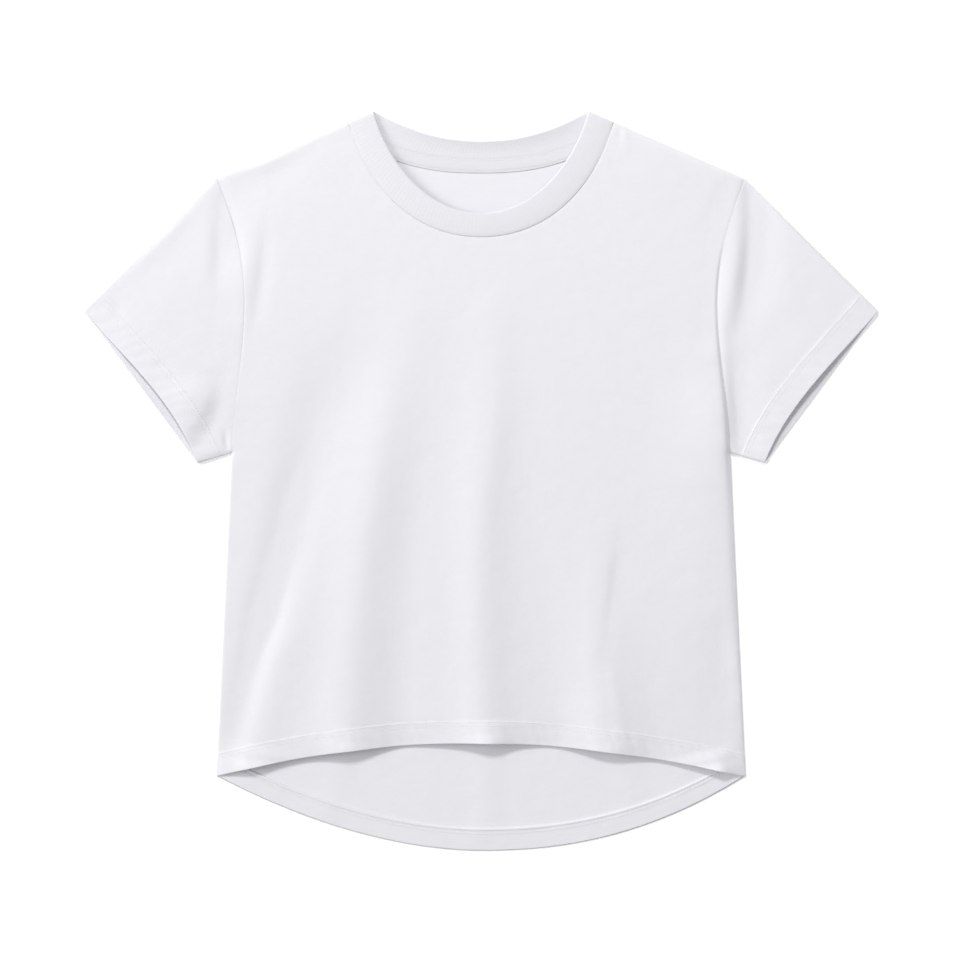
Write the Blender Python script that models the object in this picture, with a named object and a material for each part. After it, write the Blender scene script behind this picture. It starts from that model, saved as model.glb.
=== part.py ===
"""A short sleeve T-shirt with a dropped back hem, laid flat with its front up.

X runs across the shirt, +Y from the hem to the neck and +Z up from the table it lies on.
The origin is on the table, under the middle of the shirt's outline. Lengths are in metres.
The wearer's left sleeve is the one at +X.
"""

import math

import bmesh
import bpy

# The cloth.
JERSEY = 0.0012  # one layer of the body's and sleeves' jersey
RIB_KNIT = 0.0024  # the neckband, rib knit folded double
TAPE = 0.0010  # the tape inside the back neck
SEAM = 0.0003  # between two pieces along a seam
NECK_SEAM = 0.0005  # the same round the thicker neckband
TURN = 0.0027  # outer radius of the cloth where it turns under at the outline

# The right half of the outline, laid flat. The left half is its mirror image.
HEM_CORNER = (0.2650, -0.2955)
UNDERARM = (0.2495, 0.0280)
CUFF_UNDER = (0.2835, 0.0175)
CUFF_TOP = (0.3975, 0.1705)
SHOULDER_TIP = (0.2645, 0.3025)
NECK_POINT = (0.1075, 0.3705)

# Hems: each runs from the corner to its middle, by a power of its own on the left and the right.
FRONT_HEM_MIDDLE = -0.2620
BACK_HEM_MIDDLE = -0.3705
FRONT_HEM_POWERS = (2.06, 1.78)
BACK_HEM_POWERS = (1.86, 2.24)
HEM_DEPTH = 0.0225  # the allowance turned up inside
CUFF_HEM_DEPTH = 0.0240
CUFF_DIPS = {1: 0.0090, -1: 0.0097}  # how far the front of each cuff draws back, 1 for the one at +X
CUFF_DIP_POWER = 0.7  # below 1, so that it draws back most nearer the underarm
CUFF_DIP_NARROWING = 1.3  # above 1, so that it starts gently at both ends

# Armholes: how far each is scooped in from a straight line, most above its middle.
FRONT_SCOOP = 0.0215
BACK_SCOOP = 0.0120
SCOOP_POWER = 1.36

# Neck: half width and lowest point of the seam and of the band's free edge.
SEAM_HALF = 0.1325
FRONT_SEAM_LOW = 0.2440
BACK_SEAM_LOW = 0.3230
BACK_SEAM_POWER = 2.45
FREE_HALF = NECK_POINT[0]
FRONT_FREE_LOW = 0.2675
BACK_FREE_LOW = 0.3405
BACK_FREE_POWER = 2.1
SEAM_HANDLES = (0.062, 0.072)  # of the front curve, at the shoulder and at its lowest point
FREE_HANDLES = (0.055, 0.052)
HANDLE_LEAN = 0.26  # of the handle at the shoulder, inwards for each unit down

# The neckband's shape.
RIB_PITCH = 0.0038
RIB_RAISE = 0.0004
BAND_TURN = (0.0030, 0.0038)  # its radius at the shoulders, along the seam and the free edge
BAND_CROWN = 0.0004
BACK_LEAN = 0.0030  # how far the free edge stands up behind the neck
LEAN_REACH = 0.020

# The tape covers the back neck seam's allowance.
TAPE_HALF = 0.1180
TAPE_TOP = 0.0006
TAPE_WIDTH = 0.0142

# A little air keeps the front off the back, so it rises this far over the turned edges.
LIFT = 0.0030
LIFT_REACH = 0.016

# Grid steps of the panels and the sleeves.
QUARTER_COLUMNS = 10
SHOULDER_COLUMNS = 0.25  # share of a panel's columns that end on each shoulder, not on the neck
UNDERARM_SHARE = (UNDERARM[1] - HEM_CORNER[1]) / (SHOULDER_TIP[1] - HEM_CORNER[1])
SIDE_ROWS = 10
FIRST_SIDE_ROW = 0.08  # share of a panel's height, clear of the hem
ARMHOLE_ROWS = 8
ARMHOLE_CLEAR = 3  # times TURN that the even rows of an armhole stay off its ends
SLEEVE_SECTIONS = 7
TURN_STEPS = (0.0, 0.134, 0.5, 1.0)  # of TURN, in from the outline
ROW_FAN = 9.0  # how much the rows beside the underarm spread towards the middle
SLOPE_STEP = 0.0005  # either way from a point, to find how steep the cloth is there

# Grid steps of the neckband and its tape.
BAND_STEPS = (0.0, 0.1, 0.5, 0.88, 1.0)  # across the band, from its seam to its free edge
BAND_FULLNESS = (1.0, 1.0, 1.0, 0.92, 0.5)  # of the wall there, which closes round the free edge
CURVE_SAMPLES = 400  # along a curve, to space points by its length
TAPE_COLUMNS = 36

CLOTH_ROUGHNESS = 0.9
SHARP_ANGLE = math.radians(40)
WHITE_JERSEY = (0.86, 0.86, 0.88, 1.0)
WHITE_RIB = (0.84, 0.84, 0.86, 1.0)
WHITE_TAPE = (0.88, 0.88, 0.89, 1.0)

# The main folds. A fold runs from start to end, and its middle stands off that line by bow, to the
# left of someone who walks along it. Its rise is at the start, middle and end, below zero in a trough,
# and it falls away over the distances left and right of it.
FOLD_COLUMNS = ("name", "start", "end", "bow", "rise", "left", "right")
FOLD_ROWS = (
    ("left_flare", (-0.070, 0.165), (-0.140, -0.262), -0.016, (0, 0.0052, 0.0102), 0.026, 0.036),
    ("centre_flare", (0.014, 0.165), (0.000, -0.262), -0.011, (0, 0.0046, 0.0102), 0.025, 0.034),
    ("right_flare", (0.088, 0.110), (0.131, -0.262), -0.007, (0, 0.0034, 0.0100), 0.018, 0.032),
    ("left_valley", (-0.045, 0.100), (-0.082, -0.262), -0.006, (0, -0.0014, -0.0032), 0.020, 0.018),
    ("right_valley", (0.048, 0.080), (0.070, -0.262), -0.006, (0, -0.0012, -0.0032), 0.020, 0.020),
    ("side_valley", (0.140, -0.040), (0.172, -0.270), 0.0, (0, -0.0014, -0.0032), 0.018, 0.014),
    ("left_trough", (-0.128, 0.165), (-0.240, -0.235), 0.0, (0, -0.0030, -0.0016), 0.024, 0.018),
    ("left_rib_edge", (-0.185, 0.160), (-0.242, -0.120), -0.004, (0, 0.0030, 0.0004), 0.020, 0.028),
    ("hip_crease", (-0.164, -0.060), (-0.228, -0.262), -0.004, (0, 0.0022, 0.0030), 0.012, 0.014),
    ("right_dent", (0.166, -0.120), (0.252, -0.222), 0.004, (0, -0.0018, -0.0012), 0.024, 0.024),
    ("left_cap_roll", (0.259, 0.290), (0.240, 0.130), 0.004, (0.0030, 0.0034, 0.0004), 0.013, 0.010),
    ("left_cap_trough", (0.273, 0.292), (0.256, 0.130), 0.005, (-0.0010, -0.0024, 0), 0.020, 0.009),
    ("left_underarm", (0.252, 0.125), (0.262, 0.026), 0.0, (0, -0.0028, -0.0018), 0.014, 0.008),
    ("left_cuff_mouth", (0.282, 0.142), (0.342, 0.090), 0.0, (0, 0.0030, 0.0068), 0.044, 0.044),
    ("right_cap_roll", (-0.228, 0.264), (-0.236, 0.166), -0.002, (0.0006, 0.0030, 0), 0.010, 0.014),
    ("right_cap_trough", (-0.257, 0.290), (-0.261, 0.196), 0.0, (-0.0010, -0.0024, 0), 0.009, 0.010),
    ("right_cuff_mouth", (-0.282, 0.142), (-0.342, 0.090), 0.0, (0, 0.0020, 0.0046), 0.044, 0.044),
    ("right_cuff_fold", (-0.262, 0.135), (-0.303, 0.038), 0.0, (0, 0.0030, 0.0036), 0.013, 0.018),
    ("right_cuff_trough", (-0.252, 0.105), (-0.283, 0.030), 0.0, (0, -0.0016, -0.0010), 0.011, 0.011),
)
FOLDS = [dict(zip(FOLD_COLUMNS, row)) for row in FOLD_ROWS]

# The edges where the front goes over into the back, on the right half.
TURNED_EDGES = (
    (HEM_CORNER, UNDERARM),
    (UNDERARM, CUFF_UNDER),
    (CUFF_TOP, SHOULDER_TIP),
    (SHOULDER_TIP, NECK_POINT),
)
CORNER_BLEND = 0.002  # distance over which two turned edges share a corner


def between(a, b, share):
    return a + (b - a) * share


def point_between(a, b, share):
    return tuple(between(p, q, share) for p, q in zip(a, b))


def smooth(share):
    share = min(max(share, 0.0), 1.0)
    return share * share * (3 - 2 * share)


def edge_distances(x, y):
    """For each turned edge, the distance from (x, y) and the edge's own inward direction."""
    found = []
    for start, end in TURNED_EDGES:
        along = (end[0] - start[0], end[1] - start[1])
        length = math.hypot(*along)
        share = ((abs(x) - start[0]) * along[0] + (y - start[1]) * along[1]) / length**2
        foot = point_between(start, end, min(max(share, 0.0), 1.0))
        inward = (-along[1] / length, along[0] / length)
        found.append((math.hypot(abs(x) - foot[0], y - foot[1]), inward))
    return found


def turned_edge(x, y):
    """Distance from the nearest turned edge, and the direction away from it."""
    edges = edge_distances(x, y)
    nearest = min(distance for distance, _ in edges)
    weights = [math.exp((nearest - distance) / CORNER_BLEND) for distance, _ in edges]
    across = sum(w * inward[0] for w, (_, inward) in zip(weights, edges))
    along = sum(w * inward[1] for w, (_, inward) in zip(weights, edges))
    length = math.hypot(across, along) or 1.0
    return nearest, (math.copysign(1.0, x) * across / length, along / length)


def fold_height(fold, x, y):
    """How far one fold lifts the cloth at (x, y)."""
    along = (fold["end"][0] - fold["start"][0], fold["end"][1] - fold["start"][1])
    length = math.hypot(*along)
    ahead = ((x - fold["start"][0]) * along[0] + (y - fold["start"][1]) * along[1]) / length**2
    left = ((y - fold["start"][1]) * along[0] - (x - fold["start"][0]) * along[1]) / length
    share = min(max(ahead, 0.0), 1.0)
    off = left - fold["bow"] * 4 * share * (1 - share)
    first, middle, last = fold["rise"]
    if share < 0.5:
        rise = between(first, middle, smooth(2 * share))
    else:
        rise = between(middle, last, smooth(2 * share - 1))
    width = fold["left"] if off > 0 else fold["right"]
    past_end = (ahead - share) * length / fold["left"]
    return rise * math.exp(-((off / width) ** 2) - past_end**2)


def soft_height(x, y):
    """Height of the front over its turned edges: the air under it and its folds."""
    share = 1.0
    for distance, _ in edge_distances(x, y):
        share *= 1 - math.exp(-max(distance - TURN, 0.0) / LIFT_REACH)
    return LIFT * share + share * sum(fold_height(fold, x, y) for fold in FOLDS)


def turn_height(distance, radius):
    """Rise of a quarter circle of that radius, in from the outline."""
    if distance >= radius:
        return radius
    return math.sqrt(radius**2 - (radius - distance) ** 2)


def cloth_point(x, y, height, slope, up):
    """A point of a wall's outer face and its outward direction, from the face's slopes in x and y."""
    length = math.sqrt(slope[0] ** 2 + slope[1] ** 2 + 1)
    return (x, y, height), (-up * slope[0] / length, -up * slope[1] / length, up / length)


def turn_slope(x, y):
    """Slope of the turned edge's quarter circle at (x, y), and the distance in from the outline."""
    distance, inward = turned_edge(x, y)
    if distance >= TURN:
        return distance, (0.0, 0.0)
    steep = (TURN - distance) / max(turn_height(distance, TURN), 1e-6)
    return distance, (steep * inward[0], steep * inward[1])


def front_face(x, y):
    """Outer face of the cloth that faces up."""
    distance, turned = turn_slope(x, y)
    step = SLOPE_STEP
    slope = (
        turned[0] + (soft_height(x + step, y) - soft_height(x - step, y)) / (2 * step),
        turned[1] + (soft_height(x, y + step) - soft_height(x, y - step)) / (2 * step),
    )
    height = TURN + max(turn_height(distance, TURN), SEAM / 2) + soft_height(x, y)
    return cloth_point(x, y, height, slope, 1)


def back_face(x, y):
    """Outer face of the cloth that rests on the table."""
    distance, turned = turn_slope(x, y)
    height = TURN - max(turn_height(distance, TURN), SEAM / 2)
    return cloth_point(x, y, height, (-turned[0], -turned[1]), -1)


def edge_face(x, y):
    """Outer face right at the outline, halfway between front and back."""
    _, inward = turned_edge(x, y)
    return (x, y, TURN), (-inward[0], -inward[1], 0.0)


def inside_of(outer, direction, thickness):
    return tuple(p - thickness * d for p, d in zip(outer, direction))


def hem_y(x, middle, powers):
    """Where a hem's edge lies at x."""
    power = powers[0] if x < 0 else powers[1]
    return middle + (HEM_CORNER[1] - middle) * (abs(x) / HEM_CORNER[0]) ** power


def shoulder_y(x):
    share = (abs(x) - NECK_POINT[0]) / (SHOULDER_TIP[0] - NECK_POINT[0])
    return between(NECK_POINT[1], SHOULDER_TIP[1], share)


def armhole(share, scoop):
    """A point of the right armhole, from the underarm at 0 to the shoulder at 1."""
    x, y = point_between(UNDERARM, SHOULDER_TIP, share)
    return x - scoop * math.sin(math.pi * share**SCOOP_POWER), y


def front_curve(share, half, low, handles):
    """A neck curve across the front, from the left shoulder at 0 to the right one at 1."""
    side = 1 if share > 0.5 else -1
    t = 1 - abs(2 * share - 1)
    top = shoulder_y(half)
    lean = math.hypot(HANDLE_LEAN, 1)
    xs = (half, half - handles[0] * HANDLE_LEAN / lean, handles[1], 0.0)
    ys = (top, top - handles[0] / lean, low, low)
    weights = ((1 - t) ** 3, 3 * t * (1 - t) ** 2, 3 * t * t * (1 - t), t**3)
    x = sum(w * value for w, value in zip(weights, xs))
    return side * x, sum(w * value for w, value in zip(weights, ys))


def back_curve(share, half, low, power):
    """A neck curve across the back, from the left shoulder at 0 to the right one at 1."""
    x = half * (2 * share - 1)
    return x, low + (shoulder_y(half) - low) * (abs(x) / half) ** power


def front_seam(share, spread=0.0):
    return front_curve(share, SEAM_HALF + spread, FRONT_SEAM_LOW - spread, SEAM_HANDLES)


def back_seam(share, spread=0.0):
    return back_curve(share, SEAM_HALF + spread, BACK_SEAM_LOW - spread, BACK_SEAM_POWER)


def front_free(share):
    return front_curve(share, FREE_HALF, FRONT_FREE_LOW, FREE_HANDLES)


def back_free(share):
    return back_curve(share, FREE_HALF, BACK_FREE_LOW, BACK_FREE_POWER)


def armhole_shares():
    """Steps along an armhole, close together at both ends, where the cloth turns."""
    length = SHOULDER_TIP[1] - UNDERARM[1]
    ends = [step * TURN / length for step in TURN_STEPS]
    first = ARMHOLE_CLEAR * ends[-1]
    last = 1 - first
    middle = [between(first, last, i / (ARMHOLE_ROWS - 1)) for i in range(ARMHOLE_ROWS)]
    return ends + middle + [1 - end for end in reversed(ends)]


def panel_rows():
    """Rows of a panel from hem to top, as (share of the column, distance on from there, fan)."""
    hem_rows = (0.0, HEM_DEPTH / 2, HEM_DEPTH - JERSEY, HEM_DEPTH)
    rows = [(0.0, distance, 0.0) for distance in hem_rows]
    for i in range(SIDE_ROWS):
        rows.append((between(FIRST_SIDE_ROW, UNDERARM_SHARE, i / SIDE_ROWS), 0.0, 0.0))
    arm_length = SHOULDER_TIP[1] - UNDERARM[1]
    shares = armhole_shares()
    turned = len(TURN_STEPS)
    for share in shares[:turned]:
        rows.append((UNDERARM_SHARE, share * arm_length, ROW_FAN))
    for share in shares[turned:-turned]:
        rows.append((between(UNDERARM_SHARE, 1.0, share), 0.0, 0.0))
    for share in shares[-turned:]:
        rows.append((1.0, (share - 1) * arm_length, 0.0))
    return rows


def panel_columns():
    """Columns of a panel from left to right, as shares of its width."""
    width = 2 * UNDERARM[0]
    ends = [step * TURN / width for step in TURN_STEPS[:-1]]
    count = 4 * QUARTER_COLUMNS
    middle = [between(ends[-1] * 2, 1 - ends[-1] * 2, i / count) for i in range(count + 1)]
    return ends + middle + [1 - end for end in reversed(ends)]


def panel_plan(column, row, hem_edge, scoop, neck):
    """Where a panel's grid point lies: a patch stretched between its hem, sides, shoulders and neck."""
    share, distance, fan = row
    seam_side = SEAM / 2

    def hem(u):
        x = HEM_CORNER[0] * (2 * u - 1)
        return x, hem_y(x, *hem_edge)

    def top(u):
        if SHOULDER_COLUMNS < u < 1 - SHOULDER_COLUMNS:
            return neck((u - SHOULDER_COLUMNS) / (1 - 2 * SHOULDER_COLUMNS), NECK_SEAM / 2)
        shoulder_end = neck(0.0, NECK_SEAM / 2)
        tip = (seam_side - SHOULDER_TIP[0], shoulder_y(SHOULDER_TIP[0] - seam_side))
        x, y = point_between(tip, shoulder_end, min(u, 1 - u) / SHOULDER_COLUMNS)
        return (x if u < 0.5 else -x), y

    def side(v):
        if v <= UNDERARM_SHARE:
            return point_between(HEM_CORNER, UNDERARM, v / UNDERARM_SHARE)
        x, y = armhole((v - UNDERARM_SHARE) / (1 - UNDERARM_SHARE), scoop)
        return x - seam_side, y

    low, high = hem(column), top(column)
    inside = 1 + fan * min(column, 1 - column)
    v = share + distance * inside / (high[1] - low[1])
    right_x, right_y = side(v)
    corner_low, corner_high = hem(1.0), top(1.0)
    even_x = between(corner_low[0], corner_high[0], v)
    even_y = between(corner_low[1], corner_high[1], v)
    x = between(low[0], high[0], v) + (2 * column - 1) * (right_x - even_x)
    y = between(low[1], high[1], v) + (right_y - even_y) * abs(2 * column - 1)
    return x, y


def panel_walls(hem_edge, scoop, neck, face):
    """Outer and inner grids of the front or the back."""
    outer, inner = [], []
    for row in panel_rows():
        in_hem = row[0] == 0.0 and row[1] < HEM_DEPTH - JERSEY / 2
        thickness = 2 * JERSEY if in_hem else JERSEY
        faces = []
        for column in panel_columns():
            faces.append(face(*panel_plan(column, row, hem_edge, scoop, neck)))
        outer.append([point for point, _ in faces])
        inner.append([inside_of(point, direction, thickness) for point, direction in faces])
    return outer, inner


def cuff(share, dip):
    """A point of the right cuff, from its underarm end at 0 to its top at 1."""
    along = (CUFF_TOP[0] - CUFF_UNDER[0], CUFF_TOP[1] - CUFF_UNDER[1])
    length = math.hypot(*along)
    x, y = point_between(CUFF_UNDER, CUFF_TOP, share)
    back = dip * max(math.sin(math.pi * share**CUFF_DIP_POWER), 0.0) ** CUFF_DIP_NARROWING
    return x - back * along[1] / length, y + back * along[0] / length


def sleeve_sections():
    """Sections of a sleeve, as (share of the way from its armhole to its hem, distance on from there)."""
    even = [(i / SLEEVE_SECTIONS, 0.0) for i in range(SLEEVE_SECTIONS)]
    hem_steps = (0.0, JERSEY, CUFF_HEM_DEPTH / 2, CUFF_HEM_DEPTH)
    return even + [(1.0, step) for step in hem_steps]


def sleeve_walls(side):
    """Outer and inner rings of a sleeve. side is 1 for the wearer's left sleeve, at +X."""
    shares = armhole_shares()
    halves = (
        (front_face, FRONT_SCOOP, CUFF_DIPS[side], list(reversed(shares[1:-1]))),
        (back_face, BACK_SCOOP, 0.0, shares[1:-1]),
    )
    outer, inner = [], []
    for section in sleeve_sections():
        in_hem = section[0] == 1.0 and section[1] > 0.0
        thickness = 2 * JERSEY if in_hem else JERSEY
        faces = []
        for end, (face, scoop, dip, steps) in zip((1.0, 0.0), halves):
            for step, make in [(end, edge_face)] + [(share, face) for share in steps]:
                start, finish = armhole(step, scoop), cuff(step, dip)
                start = (start[0] + SEAM / 2, start[1])
                if step == 1.0:
                    start = point_between(SHOULDER_TIP, CUFF_TOP, SEAM / math.dist(SHOULDER_TIP, CUFF_TOP))
                length = math.dist(start, finish)
                to_hem = 1 - CUFF_HEM_DEPTH / length
                x, y = point_between(start, finish, section[0] * to_hem + section[1] / length)
                faces.append(make(side * x, y))
        outer.append([point for point, _ in faces])
        inner.append([inside_of(point, direction, thickness) for point, direction in faces])
    return outer, inner


def evenly(curve, count):
    """That many steps along a curve of one parameter, evenly spaced by length, both ends included."""
    fine = [curve(i / CURVE_SAMPLES) for i in range(CURVE_SAMPLES + 1)]
    lengths = [0.0]
    for a, b in zip(fine, fine[1:]):
        lengths.append(lengths[-1] + math.dist(a, b))
    points, i = [], 0
    for step in range(count + 1):
        want = lengths[-1] * step / count
        while i < CURVE_SAMPLES - 1 and lengths[i + 1] < want:
            i += 1
        share = (want - lengths[i]) / (lengths[i + 1] - lengths[i])
        points.append(point_between(fine[i], fine[i + 1], share))
    return points


def curve_length(curve):
    points = [curve(i / CURVE_SAMPLES) for i in range(CURVE_SAMPLES + 1)]
    return sum(math.dist(a, b) for a, b in zip(points, points[1:]))


def band_height(x, y, across, up):
    """Height of the neckband's outer face. across runs from its seam at 0 to its free edge at 1."""
    radius = between(*BAND_TURN, across)
    distance, _ = turned_edge(x, y)
    turned = turn_height(distance, radius)
    if up:
        return radius + turned + soft_height(x, y) + BAND_CROWN * math.sin(math.pi * across)
    lean = BACK_LEAN * across**2 * (1 - math.exp(-distance / LEAN_REACH))
    return radius - turned + lean


def band_rings(steps_across):
    """The neckband's outer rings, one for each step across it, with two points to each rib."""
    halves = []
    for seam, free in ((front_seam, front_free), (back_seam, back_free)):
        length = (curve_length(seam) + curve_length(free)) / 2
        count = 2 * round(length / RIB_PITCH)
        seam_points = evenly(lambda t, seam=seam: seam(t, -NECK_SEAM / 2), count)
        halves.append((seam_points, evenly(free, count)))
    rings = []
    for across in steps_across:
        ring = []
        for (seam_points, free_points), up in zip(halves, (True, False)):
            pairs = list(zip(seam_points, free_points))
            pairs = pairs[:-1] if up else list(reversed(pairs))[:-1]
            for a, b in pairs:
                x, y = point_between(a, b, across)
                ring.append((x, y, band_height(x, y, across, up)))
        rings.append(ring)
    return rings


def ring_direction(rings, row, column):
    """Outward direction of a closed grid at one of its points, from its neighbours."""
    ring = rings[row]
    ahead, behind = ring[(column + 1) % len(ring)], ring[column - 1]
    up, down = rings[min(row + 1, len(rings) - 1)][column], rings[max(row - 1, 0)][column]
    a = [p - q for p, q in zip(ahead, behind)]
    b = [p - q for p, q in zip(up, down)]
    normal = (a[1] * b[2] - a[2] * b[1], a[2] * b[0] - a[0] * b[2], a[0] * b[1] - a[1] * b[0])
    length = math.sqrt(sum(n * n for n in normal))
    return tuple(n / length for n in normal)


def neckband_walls():
    """Outer and inner rings, with the ribs raised on whichever faces up, over a plain underside."""
    rings = band_rings(BAND_STEPS)
    outer, inner = [], []
    for row, (across, full) in enumerate(zip(BAND_STEPS, BAND_FULLNESS)):
        raised = RIB_RAISE if 0.0 < across < 1.0 else 0.0
        shrink = RIB_KNIT * (1 - full) / 2
        outer_ring, inner_ring = [], []
        for column, point in enumerate(rings[row]):
            direction = ring_direction(rings, row, column)
            rib = raised if column % 2 else 0.0
            faces_up = direction[2] > 0
            outer_ring.append(inside_of(point, direction, shrink - (rib if faces_up else 0.0)))
            inner_ring.append(inside_of(point, direction, RIB_KNIT - shrink + (0.0 if faces_up else rib)))
        outer.append(outer_ring)
        inner.append(inner_ring)
    return outer, inner


def tape_walls():
    """The tape, from the back's inside points moved up."""
    low, high = JERSEY + SEAM, JERSEY + SEAM + TAPE
    outer, inner = [], []
    for drop in (TAPE_TOP + TAPE_WIDTH, TAPE_TOP + TAPE_WIDTH / 2, TAPE_TOP):
        plan = []
        for i in range(TAPE_COLUMNS + 1):
            x = TAPE_HALF * (2 * i / TAPE_COLUMNS - 1)
            _, y = back_seam((x / SEAM_HALF + 1) / 2)
            plan.append((x, y - drop))
        outer.append([(x, y, high) for x, y in plan])
        inner.append([(x, y, low) for x, y in plan])
    return outer, inner


def cloth_material(name, colour):
    material = bpy.data.materials.new(name)
    material.use_nodes = True
    shader = material.node_tree.nodes["Principled BSDF"]
    shader.inputs["Base Color"].default_value = colour
    shader.inputs["Roughness"].default_value = CLOTH_ROUGHNESS
    shader.inputs["Metallic"].default_value = 0.0
    return material


def cloth_object(name, walls, closed, material):
    """One solid between an outer and an inner grid of points. closed joins the last column to the first."""
    outer, inner = walls
    bm = bmesh.new()
    grids = [[[bm.verts.new(point) for point in row] for row in grid] for grid in (outer, inner)]
    rows, columns = len(outer), len(outer[0])
    around = columns if closed else columns - 1
    for r in range(rows - 1):
        for c in range(around):
            d = (c + 1) % columns
            for grid in grids:
                bm.faces.new((grid[r][c], grid[r][d], grid[r + 1][d], grid[r + 1][c]))
    over, under = grids
    for r in (0, rows - 1):
        for c in range(around):
            d = (c + 1) % columns
            bm.faces.new((over[r][c], over[r][d], under[r][d], under[r][c]))
    if not closed:
        for c in (0, columns - 1):
            for r in range(rows - 1):
                bm.faces.new((over[r][c], over[r + 1][c], under[r + 1][c], under[r][c]))
    bmesh.ops.recalc_face_normals(bm, faces=bm.faces)
    mesh = bpy.data.meshes.new(name)
    bm.to_mesh(mesh)
    bm.free()
    mesh.shade_smooth()
    mesh.set_sharp_from_angle(angle=SHARP_ANGLE)
    mesh.materials.append(material)
    made = bpy.data.objects.new(name, mesh)
    bpy.context.scene.collection.objects.link(made)
    return made


def main():
    for old in list(bpy.data.objects):
        bpy.data.objects.remove(old)
    jersey = cloth_material("white_jersey", WHITE_JERSEY)
    rib = cloth_material("white_rib", WHITE_RIB)
    tape = cloth_material("white_tape", WHITE_TAPE)
    front_hem = (FRONT_HEM_MIDDLE, FRONT_HEM_POWERS)
    back_hem = (BACK_HEM_MIDDLE, BACK_HEM_POWERS)
    front = panel_walls(front_hem, FRONT_SCOOP, front_seam, front_face)
    back = panel_walls(back_hem, BACK_SCOOP, back_seam, back_face)
    cloth_object("body_front", front, False, jersey)
    cloth_object("body_back", back, False, jersey)
    cloth_object("sleeve_left", sleeve_walls(1), True, jersey)
    cloth_object("sleeve_right", sleeve_walls(-1), True, jersey)
    cloth_object("neckband", neckband_walls(), True, rib)
    cloth_object("neck_tape", tape_walls(), False, tape)


main()
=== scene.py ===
# %% [markdown]
# # A short sleeve T-shirt, laid flat
# A T-shirt is six pieces of knitted cotton: a front, a back, two sleeves, a ribbed neckband and a
# tape inside the back neck. This one has been laid on a table and smoothed by hand, so it is nearly
# flat, but cloth that has room to spare stands up in long soft folds towards the hem. Each piece
# here is one grid of points, worked out from the same outline as the shirt's solids.

import math

import bmesh
import bpy
import numpy as np
from mathutils import Euler, Matrix, Vector


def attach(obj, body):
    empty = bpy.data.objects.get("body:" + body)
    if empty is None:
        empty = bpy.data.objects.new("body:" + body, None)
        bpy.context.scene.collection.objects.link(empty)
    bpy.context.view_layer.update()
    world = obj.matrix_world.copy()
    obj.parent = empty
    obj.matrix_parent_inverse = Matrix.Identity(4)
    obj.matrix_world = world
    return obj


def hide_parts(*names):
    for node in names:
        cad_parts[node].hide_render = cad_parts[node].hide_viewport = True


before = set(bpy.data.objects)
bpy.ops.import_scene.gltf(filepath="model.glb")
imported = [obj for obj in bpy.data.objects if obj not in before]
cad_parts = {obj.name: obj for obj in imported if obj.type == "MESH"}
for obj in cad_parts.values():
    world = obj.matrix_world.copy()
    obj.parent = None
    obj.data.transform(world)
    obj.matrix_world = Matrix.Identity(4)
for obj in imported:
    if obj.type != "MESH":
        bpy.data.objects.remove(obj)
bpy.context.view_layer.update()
print("nodes:", sorted(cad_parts))

# %% [markdown]
# ## The outline
# A pattern cutter draws one half of a shirt and mirrors it. The numbers are that half's corners, in
# metres from the middle of the shirt, with Y towards the neck. The left and the right of a hem have
# powers of their own, because the cloth was not laid quite evenly. The cloth could also be traced
# point by point, but a few corners and curves are easier to check and to change.

# %% Sizes of the cut, in metres
JERSEY = 0.0012
RIB_KNIT = 0.0024
TURN = 0.0027
OVERLAP = 0.0001  # the solids stand a seam's width apart, but sewn cloth meets

HEM_CORNER = (0.2650, -0.2955)
UNDERARM = (0.2495, 0.0280)
CUFF_UNDER = (0.2835, 0.0175)
CUFF_TOP = (0.3975, 0.1705)
SHOULDER_TIP = (0.2645, 0.3025)
NECK_POINT = (0.1075, 0.3705)

FRONT_HEM = (-0.2620, (2.06, 1.78))
BACK_HEM = (-0.3705, (1.86, 2.24))
HEM_DEPTH = 0.0225
CUFF_HEM_DEPTH = 0.0240
CUFF_DIPS = {1: 0.0090, -1: 0.0097}  # how far the front of a cuff draws back, at +X and at -X
CUFF_DIP_POWER = 0.7  # under 1, the deepest place lies nearer to the underarm
CUFF_DIP_NARROWING = 1.3

FRONT_SCOOP = 0.0215
BACK_SCOOP = 0.0120
SCOOP_POWER = 1.36

SEAM_HALF = 0.1325
FRONT_SEAM_LOW = 0.2440
BACK_SEAM_LOW = 0.3230
BACK_SEAM_POWER = 2.45
FREE_HALF = NECK_POINT[0]
FRONT_FREE_LOW = 0.2675
BACK_FREE_LOW = 0.3405
BACK_FREE_POWER = 2.1
SEAM_HANDLES = (0.062, 0.072)
FREE_HANDLES = (0.055, 0.052)
HANDLE_LEAN = 0.26

TURNED_EDGES = (
    (HEM_CORNER, UNDERARM),
    (UNDERARM, CUFF_UNDER),
    (CUFF_TOP, SHOULDER_TIP),
    (SHOULDER_TIP, NECK_POINT),
)
TURNED_NAMES = ("side", "underarm", "sleeve top", "shoulder")
ROLL_WIDTHS = (0.0120, 0.0070, 0.0042, 0.0046)  # over which each of these rolls down to the table
PRESSED_ROLL = 0.0030  # the same at -X, where the edges are pressed flatter
PRESSED_SHARE = 0.35  # of the full height is reached in that roll
PRESSED_RISE = 0.060  # and the rest over this
PRESSED_FROM = 0.150  # from the middle, and wholly so this much further out
PRESSED_FADE = 0.060


# %% Curves of the outline
def between(a, b, share):
    return a + (b - a) * share


def smooth(share):
    share = np.clip(share, 0.0, 1.0)
    return share * share * (3 - 2 * share)


def bell(distance, width):
    return np.exp(-((distance / width) ** 2))


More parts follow.
